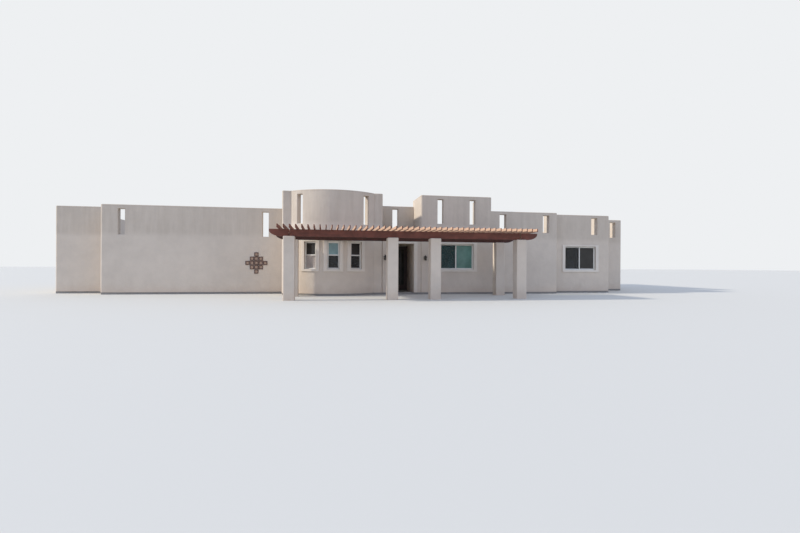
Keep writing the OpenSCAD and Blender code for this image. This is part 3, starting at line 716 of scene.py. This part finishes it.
def cut_into_cells(piece, planes):
    """Divides a wall's flat faces into upright cells, so that every rounded edge meets square corners."""
    lowest = [min(v.co[i] for v in piece.data.vertices) for i in range(3)]
    highest = [max(v.co[i] for v in piece.data.vertices) for i in range(3)]
    for axis, place in sorted(planes):
        if lowest[axis] + 0.002 < place < highest[axis] - 0.002:
            edit(piece)
            normal = [float(i == axis) for i in range(3)]
            bpy.ops.mesh.bisect(plane_co=[n * place for n in normal], plane_no=normal)
    if edit(piece, "EDGE", slanting_in_face):
        bpy.ops.mesh.dissolve_edges(use_verts=True)
    object_mode()


def at_one(z, heights):
    """Whether a height is one of the heights."""
    return any(abs(z - height) < 0.004 for height in heights)


def seen_from_above(point):
    """A point's place seen from above, to the millimetre."""
    return round(point.x, 3), round(point.y, 3)


def is_rim(edge, tops, corners):
    """Whether a wall's edge runs along its top or up a corner to it."""
    a, b = (v.co for v in edge.verts)
    highest = max(a.z, b.z)
    if (a - b).xy.length < 0.001:
        return at_one(highest, tops) or (highest > CEILING and seen_from_above(a) in corners)
    return at_one(a.z, tops) and at_one(b.z, tops) and any(f.normal.z > 0.9 for f in edge.link_faces)


def is_slot(edge, tops, corners):
    """Whether a wall's edge belongs to a parapet slot."""
    heights = [v.co.z for v in edge.verts]
    return (not is_rim(edge, tops, corners) and min(heights) > SLOTS_FROM
            and not any(at_one(z, tops) for z in heights))


class HOUSE_OT_plaster_walls(bpy.types.Operator):
    """Plasters every wall, with worn tops and soft slots and no seams between neighbours"""

    bl_idname = "house.plaster_walls"
    bl_label = "Plaster walls"

    def execute(self, context):
        sizes = context.scene.house_sizes
        walls = {node: node_copy(f"{node}_plaster", node) for node in WALLS}
        boxes = {node: solids(wall) for node, wall in walls.items()}
        trees = {node: ray_tree(wall) for node, wall in walls.items()}
        for node, wall in walls.items():
            others = [n for n in walls if n != node]
            near = [trees[n] for n in others]
            points = [v.co for v in wall.data.vertices]
            tops = [top for top in WALL_TOPS.values() if any(at_one(p.z, [top]) for p in points)]
            corners = set()
            if not node.startswith("bow"):
                corners = {seen_from_above(p) for p in points if at_one(p.z, tops)}
                cut_into_cells(wall, own_planes(wall) | touching_planes(
                    boxes[node], [b for n in others for b in boxes[n]]))
            soften(wall, sizes.slot, 3,
                   lambda e: sharp(e) and is_slot(e, tops, corners) and free_corner(e, near))
            soften(wall, sizes.rim, 4,
                   lambda e: sharp(e) and is_rim(e, tops, corners) and free_corner(e, near))
            set_material(wall, shared(plaster_for, WALLS[node]))
            settle(smooth(wall), "house", "plaster", node)
        return {"FINISHED"}


class HOUSE_OT_columns(bpy.types.Operator):
    """Plasters the square columns of the pergola and rounds their corners"""

    bl_idname = "house.columns"
    bl_label = "Columns"

    def execute(self, context):
        for node in ("front_columns", "rear_columns"):
            piece = node_copy(f"{node}_plaster", node)
            soften(piece, context.scene.house_sizes.column, 4,
                   lambda e: sharp(e) and max(v.co.z for v in e.verts) > 0.1)
            set_material(piece, shared(column_plaster))
            settle(smooth(piece), "house", "plaster", node)
        return {"FINISHED"}


class HOUSE_OT_surrounds(bpy.types.Operator):
    """Trowels the raised surrounds of the windows and the entry"""

    bl_idname = "house.surrounds"
    bl_label = "Raised surrounds"

    def execute(self, context):
        piece = node_copy("raised_surrounds", "surrounds")
        soften(piece, context.scene.house_sizes.surround)
        set_material(piece, shared(trim_plaster))
        settle(smooth(piece), "house", "plaster", "surrounds")
        return {"FINISHED"}


class HOUSE_OT_pergola(bpy.types.Operator):
    """Works the pergola's beams and rafters, with worn edges"""

    bl_idname = "house.pergola"
    bl_label = "Pergola timbers"

    def execute(self, context):
        sizes = context.scene.house_sizes
        # The rear beam's wood gets painted shade: its colour is darkened
        for node, edge, steps, grain, depth in (("front_beam", sizes.beam, 2, GRAIN_ALONG_X, 1.0),
                                                ("rear_beam", sizes.beam, 2, GRAIN_ALONG_X, REAR_BEAM_PAINTED_SHADE),
                                                ("rafters", sizes.rafter, 1, GRAIN_ALONG_Y, 1.0)):
            piece = soften(node_copy(f"{node}_timber", node), edge, steps)
            set_material(piece, timber(f"oiled_pine_{node}", grain, depth))
            settle(smooth(piece, 30), "house", "timber", node)
        return {"FINISHED"}


# Windows


def sash(name, x, z, y, sizes):
    """A sash or fixed light between x and z limits: stiles and rails with two beads, and a pane."""
    w = sizes.sash
    parts = [soften(ring(name, (x[0], y, z[0]), (x[1], y + SASH_T, z[1]), w), 0.002)]
    x, z = (x[0] + w, x[1] - w), (z[0] + w, z[1] - w)
    for depth in (BEAD_SET, SASH_T - BEAD_T - BEAD_SET):
        bead = ring(name + "_bead", (x[0], y + depth, z[0]), (x[1], y + depth + BEAD_T, z[1]), sizes.bead)
        parts.append(soften(bead, BROKEN))
    pane = box(name + "_pane", (x[0], y + PANE_SET, z[0]), (x[1], y + SASH_T - PANE_SET, z[1]))
    return parts, soften(pane, BROKEN, 1)


def screen(x, z, y, sizes):
    """An insect screen: a thin rim and the netting fixed in it."""
    rim = soften(ring("screen", (x[0], y, z[0]), (x[1], y + SCREEN_T, z[1]), sizes.screen), 0.0015)
    tucked = sizes.screen - NETTING_LAP
    object_mode()
    bpy.ops.mesh.primitive_plane_add(size=1, rotation=(math.radians(90), 0, 0),
                                     location=((x[0] + x[1]) / 2, y + SCREEN_T / 2, (z[0] + z[1]) / 2))
    bpy.ops.transform.resize(value=(x[1] - x[0] - 2 * tucked, 1, z[1] - z[0] - 2 * tucked))
    netting = named(bpy.context.object, "netting")
    apply_place(netting)
    edit(netting)
    bpy.ops.mesh.subdivide(number_cuts=6)
    object_mode()
    return rim, netting


def window_shell(half, y):
    """A window's outer frame and its sill."""
    z0, z1 = WINDOW_Z
    outer = soften(ring("frame", (-half, y, z0), (half, WINDOW_Y[1], z1), FRAME_W), EASED)
    sill = box("sill", (-half, y - SILL_HALF_D, z0), (half, y + SILL_HALF_D, z0 + SILL_H))
    return [outer, soften(sill, 0.004)]


def single_hung(sizes):
    """A single-hung window: fixed upper light, lower sash behind it, check rail, lock and screen."""
    z0, z1 = WINDOW_Z
    y, mid = WINDOW_Y[0], (z0 + z1) / 2
    shell = window_shell(BOW_WINDOW_HALF, y)
    x = (-BOW_WINDOW_HALF + FRAME_W, BOW_WINDOW_HALF - FRAME_W)
    upper, upper_pane = sash("upper", x, (mid, z1 - FRAME_W), y + OUTER_SASH, sizes)
    lower, lower_pane = sash("lower", x, (z0 + FRAME_W, mid + CHECK_RAIL), y + INNER_SASH, sizes)
    rim, netting = screen((x[0] + SCREEN_PLAY, x[1] - SCREEN_PLAY),
                          (z0 + FRAME_W + SCREEN_PLAY, mid + SCREEN_PLAY), y + BOW_SCREEN, sizes)
    lock = soften(box("lock", (-0.025, y + 0.05, mid + CHECK_RAIL), (0.025, y + 0.07, mid + 0.06)), 0.005)
    return (join("bow_window", [*shell, *upper, *lower, rim, lock]),
            join("bow_pane", [upper_pane, lower_pane]), netting)


def slider(sizes):
    """A sliding window: fixed light on the right, sliding sash behind it on the left, and a screen."""
    y, half = WINDOW_Y[0], WIDE_WINDOW_HALF
    z = (WINDOW_Z[0] + FRAME_W, WINDOW_Z[1] - FRAME_W)
    mid = (z[0] + z[1]) / 2
    shell = window_shell(half, y)
    left, left_pane = sash("slide", (-half + FRAME_W, MEETING), z, y + INNER_SASH, sizes)
    right, right_pane = sash("fixed", (-MEETING, half - FRAME_W), z, y + OUTER_SASH, sizes)
    rim, netting = screen((-half + FRAME_W + SCREEN_PLAY, -MEETING),
                          (z[0] + SCREEN_PLAY, z[1] - SCREEN_PLAY), y + WIDE_SCREEN, sizes)
    pull = soften(box("pull", (-0.012, y + 0.076, mid - 0.05), (0.012, y + 0.086, mid + 0.05)), EASED)
    return (join("wide_window", [*shell, *left, *right, rim, pull]),
            join("wide_pane", [left_pane, right_pane]), netting)


def bow_places():
    """Place and turn of each bow window."""
    return [(BOW_CENTRE[0] + BOW_RADIUS * math.sin(math.radians(a)),
             BOW_CENTRE[1] - BOW_RADIUS * math.cos(math.radians(a)), a) for a in BOW_TURNS]


def light_panes(panes, x, y_front, z, material):
    """Gives the panes between the limits a material of their own."""
    found = [f for f in panes.data.polygons
             if x[0] < f.center.x < x[1] and z[0] < f.center.z < z[1] and f.center.y < y_front]
    if found:
        panes.data.materials.append(material)
    for face in found:
        face.material_index = len(panes.data.materials) - 1


def set_windows(kind, parts, places):
    """Repeats one window at its places and says what the pieces stand for."""
    grounded = [(x, y, 0, turn) for x, y, turn in places]
    frames, panes, netting = (repeated(f"{kind}_window_{part}", piece, grounded)
                              for part, piece in zip(("frames", "panes", "screens"), parts))
    settle(smooth(set_material(frames, shared(vinyl))), "house", "white_vinyl", "window_frames")
    set_material(panes, shared(dark_glass))
    for x, y_front, z, name, painted_or_blind_colour in LIT_PANES:
        light_panes(panes, x, y_front, z, shared(pane_glass, name, tuple(linear(painted_or_blind_colour))))
    settle(panes, "house", "window_glass", "window_glass")
    settle(set_material(netting, shared(screen_netting)), "house", "white_vinyl")


class HOUSE_OT_bow_windows(bpy.types.Operator):
    """Sets the single-hung windows of the bow"""

    bl_idname = "house.bow_windows"
    bl_label = "Bow windows"

    def execute(self, context):
        set_windows("bow", single_hung(context.scene.house_sizes), bow_places())
        return {"FINISHED"}


class HOUSE_OT_wide_windows(bpy.types.Operator):
    """Sets the sliding windows of the flat walls"""

    bl_idname = "house.wide_windows"
    bl_label = "Sliding windows"

    def execute(self, context):
        set_windows("wide", slider(context.scene.house_sizes), WIDE_WINDOWS)
        return {"FINISHED"}


# Entry


def framed_opening(enamel):
    """The door's jambs and head with a concrete sill between them."""
    jambs = soften(node_copy("door_frame_enamelled", "door_frame"), EASED)
    lo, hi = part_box("door_frame")
    sill = box("sill", (lo.x + 0.002, lo.y - 0.03, lo.z), (hi.x - 0.002, lo.y + 0.03, lo.z + 0.024))
    set_material(jambs, enamel)
    set_material(soften(sill, 0.006), shared(cast_concrete))
    return join("door_frame_enamelled", [jambs, sill])


def panelled_leaf(sizes):
    """The door's leaf with a moulding round the glass and a raised panel below it, on both faces."""
    leaf = soften(node_copy("door_leaf_enamelled", "door_leaf"), EASED)
    lo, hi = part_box("door_leaf")
    glass_lo, glass_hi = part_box("door_glass")
    thick = MOULDING_T + MOULDING_LAP
    reach = sizes.moulding * 0.6
    parts = [leaf]
    for y in (lo.y - MOULDING_T, hi.y - MOULDING_LAP):
        rim = ring("moulding", (glass_lo.x - reach, y, glass_lo.z - reach),
                   (glass_hi.x + reach, y + thick, glass_hi.z + reach), sizes.moulding)
        kick = box("kick", (glass_lo.x - 0.01, y, lo.z + 0.06),
                   (glass_hi.x + 0.01, y + thick, glass_lo.z - 0.07))
        edit(kick, "FACE", lambda f: abs(f.normal.y) > 0.9)
        bpy.ops.mesh.inset(thickness=0.022, depth=-0.003)
        parts += [soften(rim, 0.006, 3), soften(kick, EASED)]
    return join("door_leaf_enamelled", parts)


def glazing_bars(lo, hi, width):
    """Thin bars near the edges of the door's glass, on both faces."""
    bars = []
    for y in (lo.y - 0.006, hi.y - 0.002):
        for share in (0.28, 0.72):
            x = lo.x + (hi.x - lo.x) * share
            bars.append(box("came", (x - width / 2, y, lo.z), (x + width / 2, y + 0.008, hi.z)))
        for share in (0.12, 0.88):
            z = lo.z + (hi.z - lo.z) * share
            bars.append(box("came", (lo.x, y, z - width / 2), (hi.x, y + 0.008, z + width / 2)))
    return join("door_glass_bars", [soften(bar, 0.002) for bar in bars])


class HOUSE_OT_front_door(bpy.types.Operator):
    """Hangs the glazed front door in its frame"""

    bl_idname = "house.front_door"
    bl_label = "Front door"

    def execute(self, context):
        sizes = context.scene.house_sizes
        enamel = shared(door_enamel)
        settle(smooth(framed_opening(enamel), 30), "house", "door_paint", "door_frame")
        leaf = set_material(panelled_leaf(sizes), enamel)
        settle(smooth(leaf, 30), "door", "door_paint", "door_leaf")
        lo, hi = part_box("door_glass")
        pane = set_material(soften(box("door_pane", lo, hi), 0.002, 1), shared(dark_glass))
        settle(pane, "door", "window_glass", "door_glass")
        bars = set_material(glazing_bars(lo, hi, sizes.came), shared(iron))
        settle(smooth(bars), "door", "black_iron")
        return {"FINISHED"}


ROSE = ((0.020, 0), (0.026, 0.0), (0.026, 0.006), (0.022, 0.01), (0.011, 0.012), (0.0095, 0.036),
        (0.012, 0.045))
KEYHOLE = ((0.018, 0.0), (0.021, 0.0), (0.021, 0.005), (0.017, 0.009), (0.008, 0.009), (0.008, 0.013))


def handle_set(x, face, side):
    """A rose, a keyhole plate and a lever on one face of the door."""
    rose = turned("rose", (0, 0, 0), ROSE, 24)
    plate = turned("keyhole", (0, 0, 0), KEYHOLE, 20)
    for part, rise in ((rose, 0.0), (plate, KEYHOLE_OVER_HANDLE)):
        part.rotation_euler = (math.radians(-90 * side), 0, 0)
        part.location = (x, face, HANDLE_Z + rise)
        apply_place(part)
    y = face + side * 0.036
    grip = box("grip", (x - 0.12, y - 0.007, HANDLE_Z - 0.009), (x + 0.012, y + 0.007, HANDLE_Z + 0.009))
    edit(grip)
    bpy.ops.mesh.subdivide(number_cuts=3)
    edit(grip, "FACE", lambda f: f.normal.x < -0.9)
    bpy.ops.transform.translate(value=(0, -side * 0.012, 0), use_proportional_edit=True,
                                proportional_size=0.09)
    return [rose, plate, soften(grip, 0.004, 3)]


class HOUSE_OT_door_furniture(bpy.types.Operator):
    """Fits the door's levers, roses and lock, and dresses its hinges"""

    bl_idname = "house.door_furniture"
    bl_label = "Door furniture"

    def execute(self, context):
        lo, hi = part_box("door_leaf")
        parts = [part for face, side in ((lo.y, -1), (hi.y, 1))
                 for part in handle_set(hi.x - STILE_W / 2, face, side)]
        knuckles = node_copy("door_hinges", "door_furniture")
        edit(knuckles, "VERT", lambda v: v.co.x > lo.x + 0.1)
        bpy.ops.mesh.delete(type="VERT")
        for piece, body, nodes in (
                (join("door_handles", parts), "door", []),
                (soften(knuckles, 0.0008, 1), "door", ["door_furniture"]),
                (soften(node_copy("hinge_pins_iron", "hinge_pins"), 0.0008, 1), "house", ["hinge_pins"])):
            settle(smooth(set_material(piece, shared(iron))), body, "black_iron", *nodes)
        return {"FINISHED"}


# Radius and height of each turned part of a lantern
LAMP_PLATE = ((0.05, 0), (0.055, 0.0), (0.055, 0.008), (0.046, 0.016), (0.02, 0.018))
LAMP_ARM = ((0.009, 0.0), (0.012, 0.004), (0.010, 0.07), (0.012, 0.128))
LAMP_HAT = ((0.085, 0.073), (0.108, 0.073), (0.110, 0.078), (0.104, 0.084), (0.078, 0.094),
            (0.052, 0.115), (0.034, 0.142), (0.016, 0.152), (0.012, 0.158))
LAMP_FINIAL = ((0.006, 0.152), (0.012, 0.158), (0.016, 0.167), (0.012, 0.176), (0.005, 0.183))
LAMP_CUP = ((0.022, -0.087), (0.05, -0.086), (0.072, -0.080), (0.074, -0.073), (0.066, -0.070))
LAMP_DROP = ((0.004, -0.107), (0.010, -0.101), (0.010, -0.093), (0.005, -0.086))
LAMP_HOOP = ((0.060, 0.0), (0.0615, 0.0), (0.0615, 0.006), (0.060, 0.006))
LAMP_PANES = ((0.050, -0.072), (0.055, -0.068), (0.055, 0.070), (0.050, 0.074))
LAMP_SIDES = 8
LAMP_BAR_RADIUS = 0.058


def lamp_scroll():
    """The curl of iron under the lantern's arm: a ring with its upper part cut off."""
    object_mode()
    bpy.ops.mesh.primitive_torus_add(location=(0, -0.066, -0.045), rotation=(0, math.radians(90), 0),
                                     major_radius=0.04, minor_radius=0.005, major_segments=32,
                                     minor_segments=8)
    scroll = named(bpy.context.object, "scroll")
    apply_place(scroll)
    edit(scroll)
    bpy.ops.mesh.bisect(plane_co=(0, -0.066, -0.06), plane_no=(0, 0.6, -0.8), use_fill=True,
                        clear_outer=True)
    face_outward(scroll)
    return scroll


def lantern():
    """A wall lantern seen along Y: back plate, arm, scroll, flared hat, caged glass and finial."""
    plate = turned("plate", (0, 0, 0), LAMP_PLATE, 24)
    arm = turned("arm", (0, 0, 0), LAMP_ARM, 16)
    for part in (plate, arm):
        part.rotation_euler = (math.radians(90), 0, 0)
        apply_place(part)
    scroll = lamp_scroll()
    foot = (0, LAMP_REACH, 0)
    cage = [turned(name, foot, profile, sides)
            for name, profile, sides in (("hat", LAMP_HAT, LAMP_SIDES), ("finial", LAMP_FINIAL, 12),
                                         ("cup", LAMP_CUP, LAMP_SIDES), ("drop", LAMP_DROP, 12))]
    bars = []
    for i in range(LAMP_SIDES):
        turn = math.radians(360 / LAMP_SIDES * (i + 0.5))
        x, y = LAMP_BAR_RADIUS * math.sin(turn), LAMP_REACH + LAMP_BAR_RADIUS * math.cos(turn)
        bar = box("bar", (x - 0.003, y - 0.003, -0.074), (x + 0.003, y + 0.003, 0.076))
        bars.append(soften(bar, BROKEN, 1))
    hoop = soften(turned("hoop", foot, LAMP_HOOP, LAMP_SIDES), BROKEN, 1)
    iron_parts = join("lantern", [plate, arm, scroll, *cage, hoop, *bars])
    return iron_parts, turned("lantern_glass", foot, LAMP_PANES, LAMP_SIDES)


class HOUSE_OT_lanterns(bpy.types.Operator):
    """Hangs an iron lantern on each side of the entry"""

    bl_idname = "house.lanterns"
    bl_label = "Lanterns"

    def execute(self, context):
        places = [(x, WALL_FACE_Y, LAMP_Z, 0) for x in LAMPS_X]
        iron_parts, glass = lantern()
        for name, pattern, maker, slot, nodes in (
                ("lanterns_iron", iron_parts, iron, "black_iron", ["wall_lamps"]),
                ("lanterns_glass", glass, lamp_glass, "window_glass", [])):
            piece = set_material(repeated(name, pattern, places), shared(maker))
            settle(smooth(piece, 30), "house", slot, *nodes)
        return {"FINISHED"}


class HOUSE_OT_stepped_cross(bpy.types.Operator):
    """Lays the stepped cross of framed squares on the left wing"""

    bl_idname = "house.stepped_cross"
    bl_label = "Stepped cross"

    def execute(self, context):
        rim, half = context.scene.house_sizes.tile_rim, TILE / 2
        tile = box("tile", (-half, -TILE_T, -half), (half, 0, half))
        edit(tile, "FACE", lambda f: f.normal.y < -0.9)
        bpy.ops.mesh.inset(thickness=rim)
        bpy.ops.mesh.inset(thickness=0.006, depth=-0.014)
        bpy.ops.mesh.inset(thickness=0.03, depth=0.004)
        soften(tile, EASED, 2, lambda e: sharp(e, 60))
        set_material(tile, shared(tile_rim))
        tile.data.materials.append(shared(tile_face))
        inner = half - rim - 0.004
        for face in tile.data.polygons:
            if max(abs(face.center.x), abs(face.center.z)) < inner and face.center.y < -0.001:
                face.material_index = 1
        x, y, z = CROSS_CENTRE
        arm = range(-CROSS_ARM, CROSS_ARM + 1)
        places = [(x + i * TILE_PITCH, y, z + k * TILE_PITCH, 0)
                  for i in arm for k in arm if abs(i) + abs(k) <= CROSS_ARM]
        cross = repeated("stepped_cross_tiles", tile, places)
        settle(smooth(cross), "house", "brown_tile", "stepped_cross")
        return {"FINISHED"}


class HOUSE_OT_roofs_and_slab(bpy.types.Operator):
    """Lays felt on the roof decks and leaves the slab as cast concrete"""

    bl_idname = "house.roofs_and_slab"
    bl_label = "Roofs and slab"

    def execute(self, context):
        decks = ("low_roof_left", "low_roof_back", "low_roof_right", "tall_roofs", "hall_roof")
        finishes = dict.fromkeys(decks, shared(roof_felt))
        finishes["porch_roof"] = shared(plaster_for, "entry")
        finishes["foundation_slab"] = shared(cast_concrete)
        for node, material in finishes.items():
            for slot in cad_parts[node].material_slots:
                slot.material = material
        return {"FINISHED"}


# Stage


def studio_world():
    """A soft pale blue sky for the light, and a white backdrop for the camera, gloss and glass."""
    world = bpy.data.worlds.new("studio")
    world.use_nodes = True
    tree = world.node_tree
    sky = tree.nodes["Background"]
    feed(tree, sky, {"Color": linear(SKY), "Strength": FILL})
    backdrop = add(tree, "Background", {"Color": linear(BACKDROP), "Strength": 1.0})
    rays = add(tree, "LightPath", {}).outputs
    seen = add(tree, "Math", {0: rays["Is Camera Ray"], 1: rays["Is Glossy Ray"]}, operation="MAXIMUM")
    through = add(tree, "Math", {0: seen, 1: rays["Is Transmission Ray"]}, operation="MAXIMUM")
    mixed = add(tree, "MixShader", {0: through, 1: sky, 2: backdrop})
    feed(tree, tree.nodes["World Output"], {"Surface": mixed})
    return world


class HOUSE_OT_studio(bpy.types.Operator):
    """Builds the pale floor, the soft light and the camera"""

    bl_idname = "house.studio"
    bl_label = "Studio"

    def execute(self, context):
        scene = context.scene
        scene.view_settings.view_transform = "Standard"
        scene.world = studio_world()
        object_mode()
        bpy.ops.mesh.primitive_plane_add(size=600, location=(0, 0, 0))
        floor = named(bpy.context.object, "studio_floor")
        set_material(floor, new_material("studio_floor", 0.9, linear(FLOOR))[0])
        bpy.ops.object.light_add(type="SUN", location=(-30, 0, 20))
        key = named(bpy.context.object, "key_light")
        key.data.energy = KEY
        key.data.color = linear(KEY_COLOUR)[:3]
        key.data.angle = math.radians(KEY_ANGLE)
        key.rotation_euler = Vector(KEY_FROM).to_track_quat("Z", "Y").to_euler()
        camera = bpy.data.objects.new("camera", bpy.data.cameras.new("camera"))
        scene.collection.objects.link(camera)
        camera.data.sensor_width = SENSOR_WIDTH
        camera.data.lens = SENSOR_WIDTH * FOCAL_PIXELS / PHOTO_WIDTH
        camera.data.clip_end = 1000
        camera.location = CAMERA_AT
        level = Matrix.Rotation(math.radians(90), 3, "X")
        turn = Matrix.Rotation(math.radians(-CAMERA_TURN), 3, "Z")
        roll = Matrix.Rotation(math.radians(CAMERA_ROLL), 3, "Z")
        camera.rotation_euler = (turn @ level @ roll).to_euler()
        scene.camera = camera
        return {"FINISHED"}


OPERATORS = (
    HOUSE_OT_plaster_walls, HOUSE_OT_columns, HOUSE_OT_surrounds, HOUSE_OT_pergola,
    HOUSE_OT_bow_windows, HOUSE_OT_wide_windows, HOUSE_OT_front_door, HOUSE_OT_door_furniture,
    HOUSE_OT_lanterns, HOUSE_OT_stepped_cross, HOUSE_OT_roofs_and_slab, HOUSE_OT_studio,
)


class HOUSE_PT_panel(bpy.types.Panel):
    """Lists the steps that finish the house"""

    bl_label = "Adobe house"
    bl_idname = "HOUSE_PT_panel"
    bl_space_type = "VIEW_3D"
    bl_region_type = "UI"
    bl_category = "Adobe house"

    def draw(self, context):
        column = self.layout.column(align=True)
        for step in OPERATORS:
            column.operator(step.bl_idname)
        for group in (context.scene.house_sizes, context.scene.house_colours):
            settings = self.layout.column(align=True)
            for name in group.__annotations__:
                settings.prop(group, name)


CLASSES = (HouseSizes, HouseColours, *OPERATORS, HOUSE_PT_panel)


def register():
    for cls in CLASSES:
        bpy.utils.register_class(cls)
    bpy.types.Scene.house_sizes = PointerProperty(type=HouseSizes)
    bpy.types.Scene.house_colours = PointerProperty(type=HouseColours)


def unregister():
    del bpy.types.Scene.house_colours
    del bpy.types.Scene.house_sizes
    for cls in reversed(CLASSES):
        bpy.utils.unregister_class(cls)


def main():
    register()
    for step in OPERATORS:
        group, name = step.bl_idname.split(".")
        getattr(getattr(bpy.ops, group), name)()


if __name__ == "__main__":
    main()
